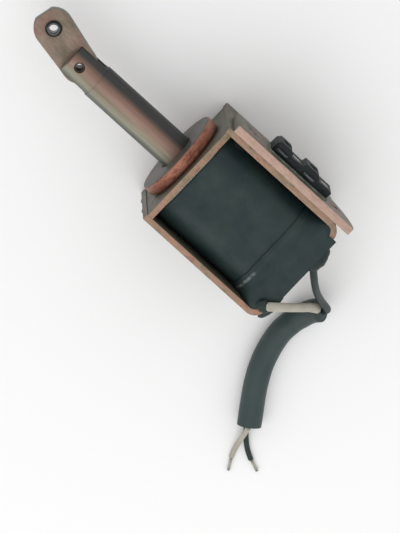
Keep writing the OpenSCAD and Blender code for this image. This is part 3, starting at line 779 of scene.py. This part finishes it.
# The cross pin sits in its hole through the fork, and its near-black tones are painted shade
cross_pin_shade_finish = ground_bar("spring_pin_painted_shade", (paint(52, 46, 42), paint(66, 60, 54)), 0.45, 0.5)
deburred("link_pin", "cross_pin_in_painted_shade", "plunger_rod", cross_pin_shade_finish, width=0.08 * mm)


# Link: a flat bar with the strip's copper wash on its faces, hinged on the cross pin, and a
# dark turned bush pressed into its eye.
link_finish = washed_steel(
    "link_bar", edge_tones=(paint(112, 102, 86), paint(134, 116, 102), paint(132, 102, 92)),
    face_tones=(paint(96, 100, 88), paint(110, 112, 100)), axis="Z")
deburred("link", "flat_link", "link_arm", link_finish, width=0.25 * mm)
bush_finish = ground_bar("dark_bush", (paint(64, 68, 66), paint(84, 88, 84)), 0.35, 0.6)
deburred("eye_bush", "turned_eye_bush", "link_arm", bush_finish, width=0.1 * mm)


# Mounting plate: thicker flat bar along one leg, with a quarter-round corner, held by two
# flush rivets. Its long edge is freshly milled and pale.
mount_finish = washed_steel(
    "mounting_bar", edge_tones=(paint(172, 144, 128), paint(184, 154, 138), paint(176, 146, 132)),
    face_tones=(paint(92, 88, 78), paint(106, 100, 88), paint(100, 84, 76)), axis="Z", rough=0.5, metal=0.25)
deburred("mounting_plate", "side_mounting_bar", "housing", mount_finish, width=0.2 * mm)
in_place("plate_rivets", mount_finish)


# Terminal strip: a black phenolic moulding on a thin card, with two tinned tags held by plated
# screws, and two more screws that hold it to the plate.
phenolic, tree, shader = start_material("phenolic", 0.55, specular=0.2)
grain = cloud(tree, place(tree), 900, detail=3)
colour_in(tree, shader, ramp(tree, grain, (0.3, paint(26, 32, 34)), (0.7, paint(38, 43, 45))))
relief(tree, shader, grain, 0.02 * mm)
deburred("terminal_strip", "phenolic_strip", "housing", phenolic, width=0.18 * mm)

card_finish, tree, shader = start_material("insulating_card", 0.8)
fibre = cloud(tree, place(tree, stretch=(0.3, 1, 1)), 1400, detail=3)
colour_in(tree, shader, ramp(tree, fibre, (0.3, paint(84, 96, 84)), (0.7, paint(128, 138, 122))))
relief(tree, shader, fibre, 0.02 * mm)
in_place("strip_card", card_finish)

tag_finish = ground_bar("tinned_tag", (paint(58, 64, 66), paint(84, 90, 92)), 0.45, 0.5)
deburred("terminal_tags", "tinned_tags", "housing", tag_finish, width=0.06 * mm)
screw_finish = ground_bar("plated_screw", (paint(150, 150, 140), paint(178, 178, 168)), 0.28, 0.85)
for node_name, name, slot in (("terminal_screws", "terminal_screw_pair", "terminal_screw_metal"),
                              ("strip_screws", "strip_screw_pair", "strip_screw_metal")):
    deburred(node_name, name, "housing", screw_finish, width=0.08 * mm)


# Floor and light: a pale bench under the frame's rear edges, a broad soft lamp from the lower
# left of the view, and white surroundings.
floor_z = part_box("u_frame")[0].z
bench_size = 3
shape = bmesh.new()
bmesh.ops.create_grid(shape, x_segments=1, y_segments=1, size=bench_size)
bmesh.ops.translate(shape, verts=shape.verts, vec=(0, 0, floor_z))
mesh = smooth_mesh(shape, "bench", turn_out=False)
bench_finish, tree, shader = start_material("bench", 0.9, specular=0.1)
shader.inputs["Base Color"].default_value = (0.96, 0.96, 0.96, 1)
bench = link_object("bench", mesh, bench_finish)

world = bpy.data.worlds.new("surroundings")
world.use_nodes = True
bpy.context.scene.world = world
tree = world.node_tree
background = tree.nodes["Background"]
ray = tree.nodes.new("ShaderNodeLightPath")
seen = maths(tree, "MAXIMUM", ray.outputs["Is Camera Ray"], ray.outputs["Is Glossy Ray"])
seen = maths(tree, "MAXIMUM", seen, ray.outputs["Is Transmission Ray"])
ambient = 0.78
strength = maths(tree, "ADD", ambient, maths(tree, "MULTIPLY", seen, 1 - ambient))
background.inputs["Color"].default_value = (1, 1, 1, 1)
tree.links.new(strength, background.inputs["Strength"])

lamp = bpy.data.lights.new("key_lamp", "AREA")
lamp.size, lamp.energy = 1.1, 3.6
key = bpy.data.objects.new("key_lamp", lamp)
key.location = (-0.25, 0.5, 0.8)
lit_point = Vector((-0.03, 0.0, 0.0))
key.rotation_mode = "QUATERNION"
key.rotation_quaternion = (lit_point - key.location).to_track_quat("-Z", "Y")
bpy.context.collection.objects.link(key)

bpy.context.scene.view_settings.view_transform = "Standard"
